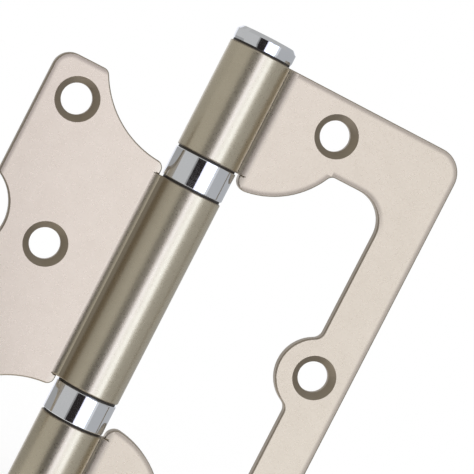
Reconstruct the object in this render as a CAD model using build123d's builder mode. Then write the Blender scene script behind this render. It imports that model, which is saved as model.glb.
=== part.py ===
from build123d import *
from math import asin, atan2, cos, degrees, sin, sqrt
import os

# A flush door hinge, open flat. Its two pressed leaves nest in one plane when it is shut, and turn on
# a capped pin through three rolled knuckles, with a ball bearing in each gap between knuckles.
# The barrel's axis is Z, with the origin at its middle. The outer leaf reaches towards +X and the inner
# leaf towards -X. The countersinks open towards -Y, and the backs of both leaves face +Y.

os.makedirs("parts", exist_ok=True)

# Driving dimensions, in millimetres: the barrel
STACK_HEIGHT = 100.0  # over the three knuckles, which is the hinge's nominal height
OUTER_KNUCKLE = 22.05  # each of the outer leaf's two knuckles
RING_HEIGHT = 6.0  # the bright ring of each bearing
WASHER_THICKNESS = 0.4
BARREL_RADIUS = 6.25
SHEET = 2.5  # thickness of both leaves
BEND_RADIUS = 2.6  # inside radius of the bend that leads the sheet out of the leaf's plane
SEAM_GAP = 0.15  # left open where the rolled end comes back to the leaf
EDGE_ROUND = 0.3  # rounding of the leaves' cut outlines and knuckle ends, front and back, from tumbling
BEND_MARGIN = 0.5  # extra sheet at each side of the bend line, trimmed off once the edges are rounded
ROOT_REACH = 6.85  # from the barrel's axis to the leaves' corners beside the bearings

# Driving dimensions: the outer leaf
OUTER_REACH = 44.8  # from the barrel's axis to the outer edge
BAR_WIDTH = 9.4  # of the side bar
ARM_WIDTH = 14.4  # of the two arms, where they meet the side bar
OUTER_CORNER = 5.1
WINDOW_CORNER = 6.3
LOBE_TIP_ROUND = 2.2
LOBE_BLEND = 1.5
BOSS_RADIUS = 7.6
BOSS_INSET = 7.1  # from the outer edge to the middle of the boss and its screw hole
BOSS_BLEND = 2.0
ARM_HOLE_REACH = 20.0  # from the barrel's axis
ARM_HOLE_INSET = 7.3  # from the leaf's end

# Driving dimensions: the inner leaf
NEST_GAP = 1.4  # all round, between the nested leaves
LOBE_GAP = 2.0  # between the outer leaf's lobes and the hollow corners that clear them
EAR_WIDTH = 9.8  # of the leaf at its two ends, outside the hollow corners
SHOULDER_RISE = 2.2  # how far the hollow corners start past the knuckle's end
INNER_CORNER = 3.5
INNER_POINT_ROUND = 1.5
SHOULDER_ROUND = 1.5
NOTCH_POINT_ROUND = 1.0
CORNER_HOLE_SIDE_INSET = 7.0
CORNER_HOLE_END_INSET = 7.5
MIDDLE_HOLE_INSET = 8.7  # from the bottom of the notch

# Driving dimensions: the screw holes
SCREW_HOLE_RADIUS = 3.0
COUNTERSINK_RADIUS = 4.3
COUNTERSINK_ANGLE = 90.0

# Driving dimensions: the pin and its caps
PIN_CLEARANCE = 0.05  # radial, between the pin and the rolled bores
CAP_INSET = 0.12  # how far a cap's rim lies inside the barrel
CAP_HEIGHT = 2.8
CAP_TOP_BEVEL = 0.75
CAP_FOOT_RISE = 0.45  # height of the slight taper at a cap's foot
CAP_FOOT_TAPER = 0.12  # radial
SPIGOT_STEP = 1.3  # from the pin's surface in to its reduced ends, which the caps are pressed on
SPIGOT_LENGTH = 1.9
SPIGOT_CHAMFER = 0.3
CAP_FIT = 0.01  # radial, between a spigot and its cap
CAP_BORE_SPARE = 0.15  # depth of the cap's bore past the spigot

# Driving dimensions: the bearings and washers
RING_INSET = 0.02  # how far a bearing's ring lies inside the barrel
RING_WALL = 0.5
RING_LIP = 0.6  # thickness of the lip that holds the fixed race
RING_ROUND = 0.2
RACE_CLEARANCE = 0.05  # radial, between a race and the ring or the pin
RUNNING_GAP = 0.05  # along the axis, between a ring and the washer that turns under it
BALL_RADIUS = 0.6
BALL_COUNT = 14
BALL_CLEARANCE = 0.03
RACE_FACE_GAP = 0.6  # between the two races' faces
CAGE_THICKNESS = 0.3
CAGE_CLEARANCE = 0.1
WASHER_INSET = 0.35  # how far a washer's rim lies inside the barrel
WASHER_BORE_CLEARANCE = 0.15

SAME = 1e-3  # lengths that differ by less are the same, when edges are picked

# Sizes that follow
top = STACK_HEIGHT / 2
bearing_zone = RING_HEIGHT + 2 * WASHER_THICKNESS
outer_knuckle_end = top - OUTER_KNUCKLE
middle_end = outer_knuckle_end - bearing_zone
half_sheet = SHEET / 2
bore_radius = BARREL_RADIUS - SHEET
pin_radius = bore_radius - PIN_CLEARANCE
spigot_radius = pin_radius - SPIGOT_STEP
cap_radius = BARREL_RADIUS - CAP_INSET
ring_radius = BARREL_RADIUS - RING_INSET
mean_roll = BARREL_RADIUS - half_sheet
mean_bend = BEND_RADIUS + half_sheet
bend_start = sqrt(mean_roll**2 + 2 * mean_roll * mean_bend)
roll_start = asin(mean_bend / (mean_roll + mean_bend))
seam_level = -(half_sheet + SEAM_GAP)

# Section of the rolled sheet, seen along the barrel with the leaf towards +X. The sheet leaves the leaf's
# plane by a small reverse bend, runs once round the pin and ends on the leaf's other side.
with BuildSketch() as rolled_sheet:
    with BuildLine():
        bend_centre = (bend_start, mean_bend)
        roll_start_deg = degrees(roll_start)
        outer_end_deg = 360 - degrees(asin(-seam_level / BARREL_RADIUS))
        inner_end_deg = 360 - degrees(asin(-seam_level / bore_radius))
        back_bend = CenterArc(bend_centre, BEND_RADIUS, -90, roll_start_deg - 90)
        outside = CenterArc((0, 0), BARREL_RADIUS, roll_start_deg, outer_end_deg - roll_start_deg)
        inside = CenterArc((0, 0), bore_radius, roll_start_deg, inner_end_deg - roll_start_deg)
        front_bend = CenterArc(bend_centre, BEND_RADIUS + SHEET, -90, roll_start_deg - 90)
        Line(outside @ 1, inside @ 1)
        back_root = Line(back_bend @ 0, (bend_start + BEND_MARGIN, half_sheet))
        front_root = Line(front_bend @ 0, (bend_start + BEND_MARGIN, -half_sheet))
        Line(back_root @ 1, front_root @ 1)
    make_face()

# Places that both outlines share. The inner leaf fills the outer leaf's window with a gap all round. Its
# hollow corners start level from the barrel and rise to its ends, and the lobes are concentric with them.
root_edge = bend_start - BEND_MARGIN
window_top = top - ARM_WIDTH
bar_inner = OUTER_REACH - BAR_WIDTH
boss_x = OUTER_REACH - BOSS_INSET
inner_reach = bar_inner - NEST_GAP
inner_top = window_top - NEST_GAP
hollow_foot = middle_end + SHOULDER_RISE
hollow_meets_top = inner_reach - EAR_WIDTH
hollow_rise = inner_top - hollow_foot
hollow_radius = ((hollow_meets_top - ROOT_REACH) ** 2 + hollow_rise**2) / (2 * hollow_rise)
hollow_centre = (ROOT_REACH, hollow_foot + hollow_radius)
lobe_radius = hollow_radius - LOBE_GAP
lobe_foot = hollow_foot + LOBE_GAP
lobe_meets_window = ROOT_REACH + sqrt(lobe_radius**2 - (hollow_centre[1] - window_top) ** 2)
boss_meets_bar = sqrt(BOSS_RADIUS**2 - (boss_x - bar_inner) ** 2)
notch_radius = BOSS_RADIUS + NEST_GAP
notch_meets_side = sqrt(notch_radius**2 - (boss_x - inner_reach) ** 2)
TIP_SHARE = 0.8  # the most of its wall that a rounded tip or shoulder may take
lobe_tip_round = min(LOBE_TIP_ROUND, TIP_SHARE * (outer_knuckle_end - lobe_foot))
shoulder_round = min(SHOULDER_ROUND, TIP_SHARE * SHOULDER_RISE)


def arc_between(centre, radius, start, end):
    """The shorter arc about centre from one point's direction to the other's."""
    first = degrees(atan2(start[1] - centre[1], start[0] - centre[0]))
    turn = degrees(atan2(end[1] - centre[1], end[0] - centre[0])) - first
    turn = (turn + 180) % 360 - 180
    return CenterArc(centre, radius, first, turn)


def round_corners(sketch, corners):
    """Rounds the sketch's corner at each place, above and below the middle."""
    for x, z, radius in corners:
        for place in ((x, z), (x, -z)):
            corner = sketch.vertices().sort_by_distance((*place, 0))[0]
            fillet(corner, radius)


with BuildSketch() as outer_outline:
    with BuildLine():
        Line((root_edge, top), (OUTER_REACH, top))
        Line((OUTER_REACH, top), (OUTER_REACH, 0))
        Line((OUTER_REACH, 0), (boss_x - BOSS_RADIUS, 0))
        boss = arc_between((boss_x, 0), BOSS_RADIUS, (boss_x - BOSS_RADIUS, 0), (bar_inner, boss_meets_bar))
        Line(boss @ 1, (bar_inner, window_top))
        Line((bar_inner, window_top), (lobe_meets_window, window_top))
        lobe = arc_between(hollow_centre, lobe_radius, (lobe_meets_window, window_top), (ROOT_REACH, lobe_foot))
        Polyline(lobe @ 1, (ROOT_REACH, outer_knuckle_end), (root_edge, outer_knuckle_end), (root_edge, top))
    make_face()
    mirror(about=Plane.XZ)
    round_corners(
        outer_outline,
        [
            (OUTER_REACH, top, OUTER_CORNER),
            (bar_inner, boss_meets_bar, BOSS_BLEND),
            (bar_inner, window_top, WINDOW_CORNER),
            (lobe_meets_window, window_top, LOBE_BLEND),
            (ROOT_REACH, lobe_foot, lobe_tip_round),
        ],
    )

# Outline of the inner leaf, drawn as it lies in the outer leaf's window when the hinge is shut
with BuildSketch() as inner_outline:
    with BuildLine():
        notch_bottom = (boss_x - notch_radius, 0)
        Line((root_edge, 0), notch_bottom)
        notch = arc_between((boss_x, 0), notch_radius, notch_bottom, (inner_reach, notch_meets_side))
        Line(notch @ 1, (inner_reach, inner_top))
        Line((inner_reach, inner_top), (hollow_meets_top, inner_top))
        hollow = arc_between(
            hollow_centre, hollow_radius, (hollow_meets_top, inner_top), (ROOT_REACH, hollow_foot)
        )
        Polyline(hollow @ 1, (ROOT_REACH, middle_end), (root_edge, middle_end), (root_edge, 0))
    make_face()
    mirror(about=Plane.XZ)
    round_corners(
        inner_outline,
        [
            (inner_reach, notch_meets_side, NOTCH_POINT_ROUND),
            (inner_reach, inner_top, INNER_CORNER),
            (hollow_meets_top, inner_top, INNER_POINT_ROUND),
            (ROOT_REACH, hollow_foot, shoulder_round),
        ],
    )

# Screw holes: each leaf has one near each end and one in the middle
outer_holes = [
    (ARM_HOLE_REACH, top - ARM_HOLE_INSET),
    (boss_x, 0),
    (ARM_HOLE_REACH, ARM_HOLE_INSET - top),
]
inner_holes = [
    (inner_reach - CORNER_HOLE_SIDE_INSET, inner_top - CORNER_HOLE_END_INSET),
    (boss_x - notch_radius - MIDDLE_HOLE_INSET, 0),
    (inner_reach - CORNER_HOLE_SIDE_INSET, CORNER_HOLE_END_INSET - inner_top),
]


def rolled_knuckle(foot, towards, length):
    """A knuckle of rolled sheet whose leaf lies towards +X (1) or -X (-1), cut off square at its bend line."""
    with BuildPart() as knuckle:
        with BuildSketch(Plane(origin=(0, 0, foot), x_dir=(towards, 0, 0), z_dir=(0, 0, 1))):
            add(rolled_sheet.sketch_local)
        extrude(amount=length)
        fillet(knuckle.faces().filter_by(Axis.Z).edges(), EDGE_ROUND)
        split(bisect_by=Plane.YZ.offset(bend_start * towards), keep=Keep.BOTTOM if towards > 0 else Keep.TOP)
    return knuckle.part


def flat_leaf(outline, towards, knuckle_feet, knuckle_length):
    """The flat of a leaf that lies towards +X (1) or -X (-1), cut off square where its knuckles' bends start."""
    with BuildPart() as flat:
        with BuildSketch(Plane(origin=(0, 0, 0), x_dir=(towards, 0, 0), z_dir=(0, -towards, 0))):
            add(outline.sketch_local)
        extrude(amount=half_sheet, both=True)
        fillet(flat.faces().filter_by(Axis.Y).edges(), EDGE_ROUND)
        with Locations(*[(0, 0, foot) for foot in knuckle_feet]):
            Box(
                2 * bend_start,
                2 * SHEET,
                knuckle_length,
                align=(Align.CENTER, Align.CENTER, Align.MIN),
                mode=Mode.SUBTRACT,
            )
    return flat.part


# Outer leaf: the C-shaped flat, its two knuckles rolled from the arms, and the screw holes
outer_flat = flat_leaf(outer_outline, 1, [outer_knuckle_end, -top], OUTER_KNUCKLE)
outer_top_knuckle = rolled_knuckle(outer_knuckle_end, 1, OUTER_KNUCKLE)
outer_bottom_knuckle = rolled_knuckle(-top, 1, OUTER_KNUCKLE)
with BuildPart() as outer_leaf:
    add(outer_flat)
    add(outer_top_knuckle)
    add(outer_bottom_knuckle)
    with Locations(Plane.XZ.offset(half_sheet)):
        with Locations(*outer_holes):
            CounterSinkHole(SCREW_HOLE_RADIUS, COUNTERSINK_RADIUS, counter_sink_angle=COUNTERSINK_ANGLE)
outer_leaf.part.label = "outer_leaf"
export_step(outer_leaf.part, "parts/outer_leaf.step")

# Inner leaf: the same sheet, swung half a turn about the barrel to lie open
middle_knuckle = 2 * middle_end
inner_flat = flat_leaf(inner_outline, -1, [-middle_end], middle_knuckle)
inner_knuckle = rolled_knuckle(-middle_end, -1, middle_knuckle)
with BuildPart() as inner_leaf:
    add(inner_flat)
    add(inner_knuckle)
    with Locations(Plane.XZ.offset(half_sheet)):
        with Locations(*[(-x, z) for x, z in inner_holes]):
            CounterSinkHole(SCREW_HOLE_RADIUS, COUNTERSINK_RADIUS, counter_sink_angle=COUNTERSINK_ANGLE)
inner_leaf.part.label = "inner_leaf"
export_step(inner_leaf.part, "parts/inner_leaf.step")

# Pin: one turned rod through all the knuckles, with a reduced spigot at each end for its cap
pin_shoulder = top + WASHER_THICKNESS
with BuildPart() as hinge_pin:
    Cylinder(pin_radius, 2 * pin_shoulder)
    Cylinder(spigot_radius, 2 * (pin_shoulder + SPIGOT_LENGTH))
    pin_ends = hinge_pin.edges().filter_by(GeomType.CIRCLE).sort_by(Axis.Z)
    chamfer([pin_ends[0], pin_ends[-1]], SPIGOT_CHAMFER)
hinge_pin.part.label = "hinge_pin"
export_step(hinge_pin.part, "parts/hinge_pin.step")


def ring_profile(inner, outer, low, high):
    """A rectangle on the XZ plane that turns about the barrel's axis into a plain ring."""
    return [(inner, low), (outer, low), (outer, high), (inner, high)]


# What sits on the barrel twice is made for the upper end (+1) and, mirrored, for the lower one (-1)
for end, cap_name, bearing_name in ((1, "top", "upper"), (-1, "bottom", "lower")):
    # Cap: turned and bright, bevelled at its head, with a blind bore for the pin's spigot
    with BuildPart() as cap:
        with BuildSketch(Plane.XZ):
            with BuildLine():
                cap_foot = pin_shoulder * end
                cap_head = (pin_shoulder + CAP_HEIGHT) * end
                bore_end = (pin_shoulder + SPIGOT_LENGTH + CAP_BORE_SPARE) * end
                bore = spigot_radius + CAP_FIT
                Polyline(
                    (0, cap_head),
                    (cap_radius - CAP_TOP_BEVEL, cap_head),
                    (cap_radius, cap_head - CAP_TOP_BEVEL * end),
                    (cap_radius, cap_foot + CAP_FOOT_RISE * end),
                    (cap_radius - CAP_FOOT_TAPER, cap_foot),
                    (bore, cap_foot),
                    (bore, bore_end),
                    (0, bore_end),
                    close=True,
                )
            make_face()
        revolve(axis=Axis.Z)
    cap.part.label = f"{cap_name}_cap"
    export_step(cap.part, f"parts/{cap_name}_cap.step")

    # Washers: one under the cap, one on each side of the bearing, all a little inside the barrel
    washer_feet = {
        f"{cap_name}_cap_washer": top,
        f"{bearing_name}_fixed_washer": outer_knuckle_end - WASHER_THICKNESS,
        f"{bearing_name}_turning_washer": middle_end,
    }
    for washer_name, foot in washer_feet.items():
        with BuildPart() as washer:
            with BuildSketch(Plane.XY.offset(foot * end)):
                Circle(BARREL_RADIUS - WASHER_INSET)
                Circle(pin_radius + WASHER_BORE_CLEARANCE, mode=Mode.SUBTRACT)
            extrude(amount=WASHER_THICKNESS * end)
        washer.part.label = washer_name
        export_step(washer.part, f"parts/{washer_name}.step")

    # Bearing ring: a bright turned cup over the balls, whose lip rests on the outer leaf's side
    ring_low = (middle_end + WASHER_THICKNESS + RUNNING_GAP) * end
    ring_high = (outer_knuckle_end - WASHER_THICKNESS) * end
    lip_low = ring_high - RING_LIP * end
    race_inner = pin_radius + RACE_CLEARANCE
    race_outer = ring_radius - RING_WALL - RACE_CLEARANCE
    with BuildPart() as bearing_ring:
        with BuildSketch(Plane.XZ):
            with BuildLine():
                Polyline(
                    (race_inner + RACE_CLEARANCE, ring_high),
                    (ring_radius, ring_high),
                    (ring_radius, ring_low),
                    (ring_radius - RING_WALL, ring_low),
                    (ring_radius - RING_WALL, lip_low),
                    (race_inner + RACE_CLEARANCE, lip_low),
                    close=True,
                )
            make_face()
        revolve(axis=Axis.Z)
        outside_rims = bearing_ring.edges().filter_by(
            lambda edge: edge.geom_type == GeomType.CIRCLE and abs(edge.radius - ring_radius) < SAME
        )
        fillet(outside_rims, RING_ROUND)
    bearing_ring.part.label = f"{bearing_name}_bearing_ring"
    export_step(bearing_ring.part, f"parts/{bearing_name}_bearing_ring.step")

    # Races: two grooved rings, the fixed one under the lip and the turning one on its washer
    ball_level = (middle_end + bearing_zone / 2) * end
    ball_pitch = (race_inner + race_outer) / 2
    race_spans = {
        f"{bearing_name}_fixed_race": (ball_level + RACE_FACE_GAP / 2 * end, lip_low),
        f"{bearing_name}_turning_race": (
            (middle_end + WASHER_THICKNESS) * end,
            ball_level - RACE_FACE_GAP / 2 * end,
        ),
    }
    for race_name, (race_low, race_high) in race_spans.items():
        with BuildPart() as race:
            with BuildSketch(Plane.XZ):
                with BuildLine():
                    Polyline(*ring_profile(race_inner, race_outer, race_low, race_high), close=True)
                make_face()
                with Locations((ball_pitch, ball_level)):
                    Circle(BALL_RADIUS + BALL_CLEARANCE, mode=Mode.SUBTRACT)
            revolve(axis=Axis.Z)
        race.part.label = race_name
        export_step(race.part, f"parts/{race_name}.step")

    # Balls: one set, evenly spaced by the cage
    with BuildPart() as balls:
        with Locations(Plane.XY.offset(ball_level)):
            with PolarLocations(ball_pitch, BALL_COUNT):
                Sphere(BALL_RADIUS)
    balls.part.label = f"{bearing_name}_balls"
    export_step(balls.part, f"parts/{bearing_name}_balls.step")

    # Ball cage: a thin flat ring with a pocket for each ball
    with BuildPart() as cage:
        with BuildSketch(Plane.XY.offset(ball_level)):
            Circle(race_outer - CAGE_CLEARANCE)
            Circle(race_inner + CAGE_CLEARANCE, mode=Mode.SUBTRACT)
            with PolarLocations(ball_pitch, BALL_COUNT):
                Circle(BALL_RADIUS + BALL_CLEARANCE, mode=Mode.SUBTRACT)
        extrude(amount=CAGE_THICKNESS / 2, both=True)
    cage.part.label = f"{bearing_name}_ball_cage"
    export_step(cage.part, f"parts/{bearing_name}_ball_cage.step")
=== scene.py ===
import math

import bpy
from mathutils import Matrix, Vector


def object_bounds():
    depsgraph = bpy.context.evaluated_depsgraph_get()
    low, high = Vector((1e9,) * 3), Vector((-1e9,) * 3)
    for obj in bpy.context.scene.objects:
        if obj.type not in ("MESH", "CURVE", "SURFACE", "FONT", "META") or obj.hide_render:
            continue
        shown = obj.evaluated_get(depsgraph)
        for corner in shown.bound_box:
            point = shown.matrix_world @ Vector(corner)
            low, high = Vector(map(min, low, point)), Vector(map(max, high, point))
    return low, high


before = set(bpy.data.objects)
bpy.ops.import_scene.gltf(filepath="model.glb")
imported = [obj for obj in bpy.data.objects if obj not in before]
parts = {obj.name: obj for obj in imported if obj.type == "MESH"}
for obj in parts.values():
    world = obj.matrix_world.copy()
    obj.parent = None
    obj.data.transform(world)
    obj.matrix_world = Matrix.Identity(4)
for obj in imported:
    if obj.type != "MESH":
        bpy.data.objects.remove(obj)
cad_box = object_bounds()

# The two leaves. Each is blanked from 2.5 mm cold-rolled steel sheet, countersunk in the press and tumbled,
# then its knuckles are rolled from the same sheet. Both are plated in nickel over a fine blasted grain, which
# makes the satin. The outer leaf goes to the door frame and the inner leaf to the door.


def linear(code):
    """An sRGB hex colour as linear red, green, blue and alpha."""
    shares = [int(code[i : i + 2], 16) / 255 for i in (1, 3, 5)]
    return [c / 12.92 if c <= 0.04045 else ((c + 0.055) / 1.055) ** 2.4 for c in shares] + [1.0]


def add(tree, kind, values=None, links=None, **settings):
    """Adds one shader node with its settings, its sockets' values and the outputs that feed it."""
    made = tree.nodes.new(kind)
    for name, value in settings.items():
        setattr(made, name, value)
    for socket, value in (values or {}).items():
        made.inputs[socket].default_value = value
    for socket, source in (links or {}).items():
        tree.links.new(source, made.inputs[socket])
    return made


def blank_material(name):
    """A material with an empty node tree, and that tree."""
    made = bpy.data.materials.new(name)
    made.use_nodes = True
    made.node_tree.nodes.clear()
    return made, made.node_tree


def finish_in(material, *nodes):
    """Gives CAD nodes this finish."""
    for name in nodes:
        for holder in parts[name].material_slots:
            holder.material = material


# Satin nickel plating: a pale warm metal that is blasted before it is plated. The eye sees soft, broad
# reflections under a fine grain. The real grit leaves pits of about 0.1 mm, which are drawn at 0.45 mm so
# that they show. The barrel is coloured a little lighter than the flats.
satin_nickel, tree = blank_material("satin_nickel_plating")
spot = add(tree, "ShaderNodeTexCoord").outputs
GRAIN = 0.45e-3
grain = add(
    tree,
    "ShaderNodeTexNoise",
    {"Scale": 1 / GRAIN, "Detail": 1.0, "Roughness": 0.5},
    {"Vector": spot["Object"]},
).outputs["Fac"]
CLOUD = 3.0e-3  # patches where the plating is a little thicker or thinner
cloud = add(
    tree,
    "ShaderNodeTexNoise",
    {"Scale": 1 / CLOUD, "Detail": 4.0, "Roughness": 0.6},
    {"Vector": spot["Object"]},
).outputs["Fac"]
facing = add(tree, "ShaderNodeSeparateXYZ", links={"Vector": spot["Normal"]}).outputs
where = add(tree, "ShaderNodeSeparateXYZ", links={"Vector": spot["Object"]}).outputs

# Where the sheet was cut, the surface is coarser and darker. The darker colour is partly painted shade, which
# darkens the countersinks and the knuckles' rounded ends. On the flats, cut faces turn away from Y. On the
# barrel, they turn towards Z.
FLAT_TURN = (0.9995, 0.98)  # the normal's share along Y: where a cut face starts, and where it is full
END_TURN = (0.1, 0.5)  # the same along Z
flatness = add(tree, "ShaderNodeMath", links={0: facing["Y"]}, operation="ABSOLUTE").outputs[0]
cut_flat = add(
    tree, "ShaderNodeMapRange", {"From Min": FLAT_TURN[0], "From Max": FLAT_TURN[1]}, {"Value": flatness}
).outputs["Result"]
endness = add(tree, "ShaderNodeMath", links={0: facing["Z"]}, operation="ABSOLUTE").outputs[0]
cut_end = add(
    tree, "ShaderNodeMapRange", {"From Min": END_TURN[0], "From Max": END_TURN[1]}, {"Value": endness}
).outputs["Result"]
BEND_LINE = 8.1e-3  # from the barrel's axis to where the flats begin
reach = add(tree, "ShaderNodeMath", links={0: where["X"]}, operation="ABSOLUTE").outputs[0]
on_flat = add(tree, "ShaderNodeMath", {1: BEND_LINE}, {0: reach}, operation="GREATER_THAN").outputs[0]
cut_and_shade = add(tree, "ShaderNodeMix", links={0: on_flat, 2: cut_end, 3: cut_flat}, data_type="FLOAT").outputs[0]

# Beside the long knuckle's seam, painted shade darkens the barrel, standing in for the shadow in the crevice
# between the barrel and the leaf.
SEAM = (-6.1e-3, -1.4e-3, 0.0)  # where it crosses the middle of the hinge
SEAM_SHADE_REACH = 5.6e-3
SEAM_SHADE_STRENGTH = 0.85
across = add(tree, "ShaderNodeCombineXYZ", links={"X": where["X"], "Y": where["Y"]}).outputs[0]
from_seam = add(tree, "ShaderNodeVectorMath", {1: SEAM}, {0: across}, operation="DISTANCE").outputs["Value"]
seam_shade_fade = add(
    tree,
    "ShaderNodeMapRange",
    {"From Min": SEAM_SHADE_REACH, "From Max": 0.0, "To Max": SEAM_SHADE_STRENGTH},
    {"Value": from_seam},
    interpolation_type="SMOOTHSTEP",
).outputs["Result"]
KNUCKLE_END = 21.2e-3
BARREL = 6.6e-3  # just past its radius, to take in the seam
height = add(tree, "ShaderNodeMath", links={0: where["Z"]}, operation="ABSOLUTE").outputs[0]
long_knuckle = add(tree, "ShaderNodeMath", {1: KNUCKLE_END}, {0: height}, operation="LESS_THAN").outputs[0]
on_barrel = add(tree, "ShaderNodeMath", {1: BARREL}, {0: reach}, operation="LESS_THAN").outputs[0]
beside = add(tree, "ShaderNodeMath", links={0: long_knuckle, 1: on_barrel}, operation="MULTIPLY").outputs[0]
seam_painted_shade = add(tree, "ShaderNodeMath", links={0: seam_shade_fade, 1: beside}, operation="MULTIPLY").outputs[0]

# Where the outer leaf's sheet bends out of its plane, painted shade darkens it, standing in for the dark
# reflection along the bend.
BEND_MIDDLE = 7.4e-3
BEND_SHADE_REACH = 1.1e-3
BEND_SHADE_STRENGTH = 0.8
outer_side = add(tree, "ShaderNodeMath", {1: 0.0}, {0: where["X"]}, operation="GREATER_THAN").outputs[0]
off_bend = add(tree, "ShaderNodeMath", {1: BEND_MIDDLE}, {0: where["X"]}, operation="SUBTRACT").outputs[0]
off_bend = add(tree, "ShaderNodeMath", links={0: off_bend}, operation="ABSOLUTE").outputs[0]
bend_painted_shade = add(
    tree,
    "ShaderNodeMapRange",
    {"From Min": BEND_SHADE_REACH, "From Max": 0.0, "To Max": BEND_SHADE_STRENGTH},
    {"Value": off_bend},
).outputs["Result"]
painted_shade = add(tree, "ShaderNodeMath", links={0: seam_painted_shade, 1: bend_painted_shade}, operation="MAXIMUM").outputs[0]

# A soft brown line of painted shade just inside the leaves' edges, standing in for the shading where the
# edges are rounded.
EDGE_SHADE_SPAN = (1.2e-3, 0.4e-3)  # from the edge: where the line starts, and where it is darkest
EDGE_SHADE_STRENGTH = 0.75
folded = add(tree, "ShaderNodeCombineXYZ", links={"X": reach, "Z": height}).outputs[0]


def line_of_shade(inside):
    """How strongly the painted shade line shows on a point this far inside an edge, and 0 beyond the edge."""
    fade = add(
        tree,
        "ShaderNodeMapRange",
        {"From Min": EDGE_SHADE_SPAN[0], "From Max": EDGE_SHADE_SPAN[1], "To Max": EDGE_SHADE_STRENGTH},
        {"Value": inside},
        interpolation_type="SMOOTHSTEP",
    ).outputs["Result"]
    within = add(tree, "ShaderNodeMath", {1: 0.0}, {0: inside}, operation="GREATER_THAN").outputs[0]
    return add(tree, "ShaderNodeMath", links={0: fade, 1: within}, operation="MULTIPLY").outputs[0]


def past_corner(values, links):
    """How far a point lies beyond the middle of a rounded corner, to the side and upwards."""
    past = add(tree, "ShaderNodeVectorMath", values, links, operation="SUBTRACT").outputs[0]
    past = add(tree, "ShaderNodeVectorMath", {1: (0, 0, 0)}, {0: past}, operation="MAXIMUM").outputs[0]
    return add(tree, "ShaderNodeVectorMath", links={0: past}, operation="LENGTH").outputs["Value"]


# The line follows the two outlines round their outer corners. The middle of each corner is given from the
# barrel's axis and from the hinge's middle, and then its radius.
OUTER_CORNER, OUTER_ROUND = (39.7e-3, 0.0, 44.9e-3), 5.1e-3
INNER_CORNER, INNER_ROUND = (30.5e-3, 0.0, 30.7e-3), 3.5e-3
corner = add(
    tree, "ShaderNodeMix", {4: INNER_CORNER, 5: OUTER_CORNER}, {0: outer_side}, data_type="VECTOR"
).outputs[1]
rounding = add(
    tree, "ShaderNodeMix", {2: INNER_ROUND, 3: OUTER_ROUND}, {0: outer_side}, data_type="FLOAT"
).outputs[0]
past = past_corner({}, {0: folded, 1: corner})
inside = add(tree, "ShaderNodeMath", links={0: rounding, 1: past}, operation="SUBTRACT").outputs[0]
shade_at_outline = line_of_shade(inside)

# It follows the top and bottom of the outer leaf's window from the lobes on, and fades round the window's
# corners.
WINDOW_CORNER, WINDOW_ROUND = (29.1e-3, 0.0, 29.3e-3), 6.3e-3
WINDOW_TOP = 35.6e-3
LOBE_END = 22.65e-3
past = past_corner({1: WINDOW_CORNER}, {0: folded})
inside = add(tree, "ShaderNodeMath", {1: WINDOW_ROUND}, {0: past}, operation="SUBTRACT").outputs[0]
beyond_lobe = add(tree, "ShaderNodeMath", {1: LOBE_END}, {0: where["X"]}, operation="GREATER_THAN").outputs[0]
round_corner = add(
    tree, "ShaderNodeMapRange", {"From Min": WINDOW_CORNER[2], "From Max": WINDOW_TOP}, {"Value": height}
).outputs["Result"]
window = line_of_shade(inside)
for share in (beyond_lobe, round_corner):
    window = add(tree, "ShaderNodeMath", links={0: window, 1: share}, operation="MULTIPLY").outputs[0]

# It follows the outer leaf's lobes, which are round.
LOBE_MIDDLE, LOBE_RADIUS = (6.85e-3, 0.0, 42.65e-3), 17.3e-3
from_middle = add(
    tree, "ShaderNodeVectorMath", {1: LOBE_MIDDLE}, {0: folded}, operation="DISTANCE"
).outputs["Value"]
inside = add(tree, "ShaderNodeMath", {0: LOBE_RADIUS}, {1: from_middle}, operation="SUBTRACT").outputs[0]
under = add(tree, "ShaderNodeMath", {1: WINDOW_TOP}, {0: height}, operation="LESS_THAN").outputs[0]
lobe = line_of_shade(inside)
for share in (under, outer_side):
    lobe = add(tree, "ShaderNodeMath", links={0: lobe, 1: share}, operation="MULTIPLY").outputs[0]

for other in (window, lobe):
    shade_at_outline = add(tree, "ShaderNodeMath", links={0: shade_at_outline, 1: other}, operation="MAXIMUM").outputs[0]
painted_outline_shade = add(tree, "ShaderNodeMath", links={0: shade_at_outline, 1: on_flat}, operation="MULTIPLY").outputs[0]

# The grain and the clouds show equally.
mottle = add(tree, "ShaderNodeMix", {0: 0.5}, {2: cloud, 3: grain}, data_type="FLOAT").outputs[0]
rolled = add(
    tree, "ShaderNodeMix", {6: linear("#c2b7a0"), 7: linear("#d3c9b2")}, {0: mottle}, data_type="RGBA"
).outputs[2]
blasted_flat = add(
    tree, "ShaderNodeMix", {6: linear("#b5a790"), 7: linear("#c5b7a0")}, {0: mottle}, data_type="RGBA"
).outputs[2]
ROLL_FADE = (6.4e-3, 8.4e-3)  # from the barrel's axis: where the rolled sheet ends, and where the flat begins
flat_share = add(
    tree, "ShaderNodeMapRange", {"From Min": ROLL_FADE[0], "From Max": ROLL_FADE[1]}, {"Value": reach}
).outputs["Result"]
plated = add(
    tree, "ShaderNodeMix", links={0: flat_share, 6: rolled, 7: blasted_flat}, data_type="RGBA"
).outputs[2]
# Painted shade beside the seam and along the outer leaf's bend, in a dull brown.
shaded_plating = add(tree, "ShaderNodeMix", {7: linear("#857a69")}, {0: painted_shade, 6: plated}, data_type="RGBA").outputs[2]
# Painted shade just inside the leaves' edges.
outline_darkened = add(tree, "ShaderNodeMix", {7: linear("#837768")}, {0: painted_outline_shade, 6: shaded_plating}, data_type="RGBA").outputs[2]
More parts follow.
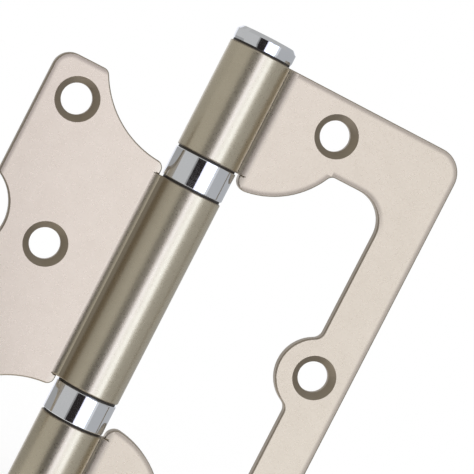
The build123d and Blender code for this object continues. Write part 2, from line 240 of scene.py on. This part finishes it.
# Cut faces: their own darker colour, which is also painted shade in the countersinks and on the knuckles'
# ends.
colour = add(tree, "ShaderNodeMix", {7: linear("#a39784")}, {0: cut_and_shade, 6: outline_darkened}, data_type="RGBA").outputs[2]
NOISE_SPAN = (0.3, 0.7)  # what a noise's values mostly lie between
BLASTED = (0.27, 0.3)
CUT_ROUGHNESS = 0.45
blasted = add(
    tree,
    "ShaderNodeMapRange",
    {"From Min": NOISE_SPAN[0], "From Max": NOISE_SPAN[1], "To Min": BLASTED[0], "To Max": BLASTED[1]},
    {"Value": grain},
).outputs["Result"]
roughness = add(
    tree, "ShaderNodeMix", {3: CUT_ROUGHNESS}, {0: cut_and_shade, 2: blasted}, data_type="FLOAT"
).outputs[0]
PIT_DEPTH = 0.15e-6
pits = add(
    tree, "ShaderNodeBump", {"Strength": 1.0, "Distance": PIT_DEPTH}, {"Height": grain}
).outputs["Normal"]
surface = add(
    tree,
    "ShaderNodeBsdfPrincipled",
    {"Metallic": 1.0},
    {"Base Color": colour, "Roughness": roughness, "Normal": pits},
)
add(tree, "ShaderNodeOutputMaterial", links={"Surface": surface.outputs["BSDF"]})
finish_in(satin_nickel, "outer_leaf", "inner_leaf")

# Ball bearings, one in each gap between knuckles: two grooved races of hardened and ground steel, fourteen
# polished balls, and a flat brass cage that spaces them. The bright ring over them is turned and chrome
# plated, and it is all that shows.

HAZE = 2.0e-3  # patches of wear and handling


def turned_metal(name, dark, light, line_pitch, smooth, rough, line_depth):
    """A metal turned about the barrel's axis: fine rings of rougher cut, this far apart."""
    made, tree = blank_material(name)
    spot = add(tree, "ShaderNodeTexCoord").outputs
    where = add(tree, "ShaderNodeSeparateXYZ", links={"Vector": spot["Object"]}).outputs
    flat = add(tree, "ShaderNodeCombineXYZ", links={"X": where["X"], "Y": where["Y"]}).outputs[0]
    radius = add(tree, "ShaderNodeVectorMath", links={0: flat}, operation="LENGTH").outputs["Value"]
    track = add(tree, "ShaderNodeCombineXYZ", links={"X": radius, "Y": where["Z"]}).outputs[0]
    lines = add(
        tree,
        "ShaderNodeTexNoise",
        {"Scale": 1 / line_pitch, "Detail": 2.0, "Roughness": 0.6},
        {"Vector": track},
        noise_dimensions="2D",
    ).outputs["Fac"]
    haze = add(
        tree,
        "ShaderNodeTexNoise",
        {"Scale": 1 / HAZE, "Detail": 3.0, "Roughness": 0.6},
        {"Vector": spot["Object"]},
    ).outputs["Fac"]
    colour = add(
        tree, "ShaderNodeMix", {6: linear(dark), 7: linear(light)}, {0: haze}, data_type="RGBA"
    ).outputs[2]
    both = add(tree, "ShaderNodeMath", links={0: lines, 1: haze}, operation="MULTIPLY").outputs[0]
    product_span = (0.12, 0.42)  # what the product of the two noises mostly lies between
    roughness = add(
        tree,
        "ShaderNodeMapRange",
        {"From Min": product_span[0], "From Max": product_span[1], "To Min": smooth, "To Max": rough},
        {"Value": both},
    ).outputs["Result"]
    ridges = add(
        tree, "ShaderNodeBump", {"Strength": 1.0, "Distance": line_depth}, {"Height": lines}
    ).outputs["Normal"]
    surface = add(
        tree,
        "ShaderNodeBsdfPrincipled",
        {"Metallic": 1.0},
        {"Base Color": colour, "Roughness": roughness, "Normal": ridges},
    )
    add(tree, "ShaderNodeOutputMaterial", links={"Surface": surface.outputs["BSDF"]})
    return made


# Ground bearing steel: a grey with close grinding lines round it, drawn at 0.1 mm so that they show.
finish_in(
    turned_metal("ground_bearing_steel", "#a9aaad", "#bcbdc0", 0.1e-3, 0.2, 0.3, 0.4e-6),
    *[name for name in parts if name.endswith("race")],
)

# Polished chrome steel: the balls' mirror surface, with only a breath of oil haze.
finish_in(
    turned_metal("polished_ball_steel", "#c2c3c6", "#cdced1", 0.5e-3, 0.06, 0.1, 0.05e-6),
    *[name for name in parts if name.endswith("balls")],
)

# Stamped brass: yellow and a little dull, with soft lines from the sheet.
finish_in(
    turned_metal("stamped_brass", "#c09a50", "#d2ad62", 0.2e-3, 0.28, 0.38, 0.6e-6),
    *[name for name in parts if name.endswith("cage")],
)

# Bright chrome plating over polished turning: a mirror with crisp edges between light and dark. The polishing
# lines are about 0.01 mm apart and are drawn at 0.12 mm. They cloud the mirror a little more where it was
# handled.
bright_chrome = turned_metal("bright_chrome_plating", "#e6e8ea", "#edeef0", 0.12e-3, 0.05, 0.1, 0.03e-6)
finish_in(bright_chrome, "upper_bearing_ring", "lower_bearing_ring")

# Washers: thin black discs punched from acetal sheet, one on each side of a bearing and one under each cap.
# They show as the dark lines between the bright and the satin pieces, and their black is partly painted shade
# for the gaps there.

# Black acetal: nearly black and waxy, with a soft gloss and faint rub marks from turning against steel.
black_acetal_gap_shade, tree = blank_material("black_acetal_gap_shade")
spot = add(tree, "ShaderNodeTexCoord").outputs
RUB = 0.3e-3
rub = add(
    tree,
    "ShaderNodeTexNoise",
    {"Scale": 1 / RUB, "Detail": 3.0, "Roughness": 0.6},
    {"Vector": spot["Object"]},
).outputs["Fac"]
colour = add(
    tree, "ShaderNodeMix", {6: linear("#28231d"), 7: linear("#3a342b")}, {0: rub}, data_type="RGBA"
).outputs[2]
WAXY = (0.42, 0.6)
roughness = add(
    tree,
    "ShaderNodeMapRange",
    {"From Min": NOISE_SPAN[0], "From Max": NOISE_SPAN[1], "To Min": WAXY[0], "To Max": WAXY[1]},
    {"Value": rub},
).outputs["Result"]
SCUFF_DEPTH = 2.0e-6
scuffs = add(
    tree, "ShaderNodeBump", {"Strength": 1.0, "Distance": SCUFF_DEPTH}, {"Height": rub}
).outputs["Normal"]
surface = add(
    tree,
    "ShaderNodeBsdfPrincipled",
    {"IOR": 1.48, "Specular IOR Level": 0.3},
    {"Base Color": colour, "Roughness": roughness, "Normal": scuffs},
)
add(tree, "ShaderNodeOutputMaterial", links={"Surface": surface.outputs["BSDF"]})
finish_in(black_acetal_gap_shade, *[name for name in parts if name.endswith("washer")])

# Pin: a rod of bright drawn steel, turned down at its ends, that is pushed through all the knuckles. Nothing
# of it shows once its caps are on.

# Bright drawn steel: a plain grey with fine turning lines, drawn at 0.15 mm.
finish_in(turned_metal("bright_drawn_steel", "#9fa0a2", "#b0b1b3", 0.15e-3, 0.24, 0.34, 0.6e-6), "hinge_pin")

# Caps: turned from steel bar with a bevelled rim, and bored for the pin's reduced ends, which they are
# pressed on. They are polished and chrome plated as the rings are.
finish_in(bright_chrome, "top_cap", "bottom_cap")

# Floor: a pale matt board under the bottom cap. It shows the same white as the background to the camera and
# in the metal, and still takes the hinge's shadow.
foot = cad_box[0].z


def panel(name, points, faces, material):
    """A flat or curved sheet of the studio, which is no part of the hinge."""
    mesh = bpy.data.meshes.new(name)
    mesh.from_pydata(points, [], faces)
    mesh.materials.append(material)
    made = bpy.data.objects.new(name, mesh)
    bpy.context.scene.collection.objects.link(made)
    return made


SQUARE = ((-1, -1), (1, -1), (1, 1), (-1, 1))
WHITE = (1, 1, 1, 1)
FLOOR_REACH = 30.0
PALE = 0.8  # how much light the board returns. Its glow makes up the rest of the background's white.
floor_paint, tree = blank_material("pale_floor")
rays = add(tree, "ShaderNodeLightPath").outputs
seen = rays["Is Camera Ray"]
for kind in ("Is Glossy Ray", "Is Transmission Ray"):
    seen = add(tree, "ShaderNodeMath", links={0: seen, 1: rays[kind]}, operation="MAXIMUM").outputs[0]
lift = add(tree, "ShaderNodeMath", {1: 1 - PALE}, {0: seen}, operation="MULTIPLY").outputs[0]
matt = add(tree, "ShaderNodeBsdfDiffuse", {"Color": (PALE, PALE, PALE, 1)}).outputs[0]
glow = add(tree, "ShaderNodeEmission", {"Color": WHITE}, {"Strength": lift}).outputs[0]
both = add(tree, "ShaderNodeAddShader", links={0: matt, 1: glow}).outputs[0]
add(tree, "ShaderNodeOutputMaterial", links={"Surface": both})
panel("floor", [(x * FLOOR_REACH, y * FLOOR_REACH, foot) for x, y in SQUARE], [(0, 1, 2, 3)], floor_paint)

# Studio: a white room with a ring of soft screens round the hinge, which the metal mirrors. A soft box in
# front and a little to the right makes the bright stripes, and a dark strip beside it the dark ones. Most
# screens start on a low ramp near the hinge, so that the metal mirrors them and not the floor.
RAMP_FOOT = (0.05, foot + 0.0005)  # away from the barrel, and height
RAMP_MIDDLE = (0.35, foot + 0.011)
RAMP_TOP = (1.0, foot + 0.034)
WALL_TOP = (1.0, 1.5)
STRIP_TOP = (1.0, 0.18)
BAND_TOP = (1.0, 0.035)
BACK_TOP = (1.0, 0.5)
SCREEN_STEP = 4  # degrees between a screen's upright edges


def screen(name, start, end, radiance, tint="#ffffff", levels=(RAMP_FOOT, RAMP_TOP, WALL_TOP)):
    """A screen curved round the barrel, from one azimuth in degrees to another, that only shows in metal."""
    paint, tree = blank_material(name)
    shine = add(tree, "ShaderNodeEmission", {"Color": linear(tint), "Strength": radiance})
    add(tree, "ShaderNodeOutputMaterial", links={"Surface": shine.outputs[0]})
    steps = max(2, round(abs(end - start) / SCREEN_STEP))
    points, faces, rows = [], [], len(levels)
    for i in range(steps + 1):
        turn = math.radians(start + (end - start) * i / steps)
        points += [(away * math.sin(turn), -away * math.cos(turn), z) for away, z in levels]
        if i:
            last = (i - 1) * rows
            faces += [(last + k, last + rows + k, last + rows + k + 1, last + k + 1) for k in range(rows - 1)]
    made = panel(name, points, faces, paint)
    made.visible_camera = made.visible_diffuse = made.visible_shadow = False


# The soft box: a cool light, brightest at its right
screen("soft_box_edge", -5, 1, 1.4, "#ecebff")
screen("soft_box_left", 1, 10, 2.8, "#dce3ff")
screen("soft_box_middle", 10, 22, 1.62, "#e7edff")
screen("soft_box_core", 22, 29, 2.2, "#e0eaff")
screen("soft_box_right", 29, 38, 2.6, "#e0eaff")
screen("soft_box_fade", 38, 47, 0.78, "#f9fbff")

# The dark strip, which fades at its left edge and has a gap in its ramp
WALL = 0.5
DARK, DARK_TINT = 0.024, "#ffeded"
DARK_EDGE = 0.3
PLAIN = "#ffffff"
for name, levels in (("low_dark_strip", (RAMP_FOOT, RAMP_MIDDLE)), ("dark_strip", (RAMP_TOP, STRIP_TOP))):
    screen(name, -34, -5, DARK, DARK_TINT, levels)
    screen(name + "_edge", -39, -34, DARK_EDGE, PLAIN, levels)
screen("strip_gap", -39, -5, WALL, PLAIN, (RAMP_MIDDLE, RAMP_TOP))
screen("wall_over_strip", -39, -5, WALL, PLAIN, (STRIP_TOP, WALL_TOP))

# The walls at both sides, with a dim band low on the left one, and a soft box that lights the leaves' backs
LEFT_WALL = 0.556
screen("left_wall", -95, -39, LEFT_WALL)
screen("dim_band", -155, -95, 0.38, PLAIN, (RAMP_FOOT, RAMP_TOP, BAND_TOP))
screen("wall_over_band", -155, -95, LEFT_WALL, PLAIN, (BAND_TOP, WALL_TOP))
screen("right_wall", 47, 155, WALL, "#f9fbff")
screen("back_soft_box", 155, 205, 1.0, "#f7f8ff", (RAMP_FOOT, RAMP_TOP, BACK_TOP))
screen("wall_over_back", 155, 205, WALL, PLAIN, (BACK_TOP, WALL_TOP))

CEILING_LEVEL, CEILING_REACH = 1.2, 1.0
ceiling_paint, tree = blank_material("ceiling")
shine = add(tree, "ShaderNodeEmission", {"Color": WHITE, "Strength": WALL})
add(tree, "ShaderNodeOutputMaterial", links={"Surface": shine.outputs[0]})
ceiling = panel(
    "ceiling",
    [(x * CEILING_REACH, y * CEILING_REACH, CEILING_LEVEL) for x, y in SQUARE],
    [(0, 1, 2, 3)],
    ceiling_paint,
)
ceiling.visible_camera = ceiling.visible_diffuse = ceiling.visible_shadow = False

world = bpy.data.worlds.new("white_room")
bpy.context.scene.world = world
world.use_nodes = True
world.node_tree.nodes.clear()
tree = world.node_tree
sky = add(tree, "ShaderNodeBackground", {"Color": WHITE, "Strength": 1.0})
add(tree, "ShaderNodeOutputWorld", links={"Surface": sky.outputs[0]})

# Camera: a long lens a little to the left of the barrel's front, tilted so that the barrel leans to the
# right. Its place was fitted to points measured in the photograph.
AIM = Vector((12.02e-3, 0, 17.27e-3))
AZIMUTH, ELEVATION, ROLL = (math.radians(angle) for angle in (-11.533, 1.591, -27.248))
BACK = Vector(
    (math.sin(AZIMUTH) * math.cos(ELEVATION), -math.cos(AZIMUTH) * math.cos(ELEVATION), math.sin(ELEVATION))
)
DISTANCE = 0.48806
lens = bpy.data.cameras.new("camera")
lens.lens = 196.189
lens.clip_start = 0.01
lens.clip_end = 100
camera = bpy.data.objects.new("camera", lens)
bpy.context.scene.collection.objects.link(camera)
upright = Vector((0, 0, 1)) - BACK * BACK.z
upright.normalize()
right = upright.cross(BACK)
up = upright * math.cos(ROLL) + right * math.sin(ROLL)
side = up.cross(BACK)
turned = Matrix((side, up, BACK)).transposed().to_4x4()
camera.matrix_world = Matrix.Translation(AIM + BACK * DISTANCE) @ turned
bpy.context.scene.camera = camera
bpy.context.scene.view_settings.view_transform = "Standard"
